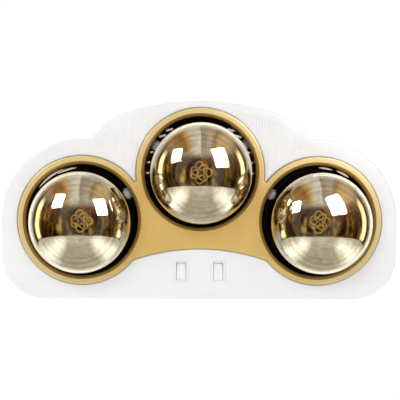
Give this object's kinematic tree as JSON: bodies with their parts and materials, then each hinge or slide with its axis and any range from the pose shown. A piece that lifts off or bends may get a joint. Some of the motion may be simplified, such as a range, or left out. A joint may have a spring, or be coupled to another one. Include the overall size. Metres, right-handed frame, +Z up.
{
  "type": "bathroom heat lamp",
  "caption": "Wall-hung bathroom heat lamp: cloud-shaped white cover, gold bezel, mirrored infrared bulbs in black recesses, rocker switches.",
  "frame": {"origin": "on the wall plane, behind the middle of the cover's outline", "axes": "+X to the viewer's right across the lamp, +Y into the wall, +Z up"},
  "size_m": [0.46, 0.1858, 0.232],
  "materials": {
    "pan_steel": "white powder coat",
    "cover_plastic": "white, satin moulded",
    "bezel_paint": "gold lacquer, satin",
    "cup_enamel": "black stove enamel, glossy",
    "bulb_glass": "amber-tinted mirrored glass",
    "stem_glass": "clear",
    "filament_metal": "tungsten wire",
    "porcelain": "white glaze",
    "brass": "bare",
    "plated_metal": "zinc plated",
    "rubber": "black",
    "switch_plastic": "ivory white",
    "lead_sheath": "silicone sheath"
  },
  "bodies": {
    "heater": {"rear_housing": "pan_steel", "front_cover": "cover_plastic", "gold_bezel": "bezel_paint", "lamp_cup_left": "cup_enamel", "bulb_glass_left": "bulb_glass", "bulb_cap_left": "plated_metal", "bulb_stem_left": "stem_glass", "filament_left": "filament_metal", "lampholder_left": "porcelain", "holder_shell_left": "brass", "centre_contact_left": "brass", "holder_bracket_left": "plated_metal", "lamp_cup_centre": "cup_enamel", "bulb_glass_centre": "bulb_glass", "bulb_cap_centre": "plated_metal", "bulb_stem_centre": "stem_glass", "filament_centre": "filament_metal", "lampholder_centre": "porcelain", "holder_shell_centre": "brass", "centre_contact_centre": "brass", "holder_bracket_centre": "plated_metal", "lamp_cup_right": "cup_enamel", "bulb_glass_right": "bulb_glass", "bulb_cap_right": "plated_metal", "bulb_stem_right": "stem_glass", "filament_right": "filament_metal", "lampholder_right": "porcelain", "holder_shell_right": "brass", "centre_contact_right": "brass", "holder_bracket_right": "plated_metal", "switch_body_left": "cover_plastic", "switch_blade_left_lower": "brass", "switch_blade_left_upper": "brass", "switch_body_right": "cover_plastic", "switch_blade_right_lower": "brass", "switch_blade_right_upper": "brass", "terminal_block": "porcelain", "cable_grommet": "rubber", "cord_clamp": "plated_metal", "earth_screw": "brass", "cover_screw_left": "plated_metal", "cover_screw_right": "plated_metal", "cover_screw_bottom_left": "plated_metal", "cover_screw_bottom_right": "plated_metal", "cover_screw_top": "plated_metal", "bezel_screw_upper_left": "plated_metal", "bezel_screw_upper_right": "plated_metal", "bezel_screw_lower_left": "plated_metal", "bezel_screw_lower_right": "plated_metal", "lead_supply_left": "lead_sheath", "lead_supply_right": "lead_sheath", "lead_centre_lamp": "lead_sheath", "lead_right_lamp": "lead_sheath", "lead_side_link": "lead_sheath", "lead_neutral": "lead_sheath"},
    "rocker_left": {"rocker_left": "switch_plastic"},
    "rocker_right": {"rocker_right": "switch_plastic"}
  },
  "joints": [
    {"name": "rocker_left_tilt", "type": "hinge", "parent": "heater", "child": "rocker_left", "pos_m": [-0.0215, -0.0845, -0.0835], "axis": [1, 0, 0], "range_deg": [0, 24]},
    {"name": "rocker_right_tilt", "type": "hinge", "parent": "heater", "child": "rocker_right", "pos_m": [0.0215, -0.0845, -0.0835], "axis": [1, 0, 0], "range_deg": [0, 24]}
  ]
}
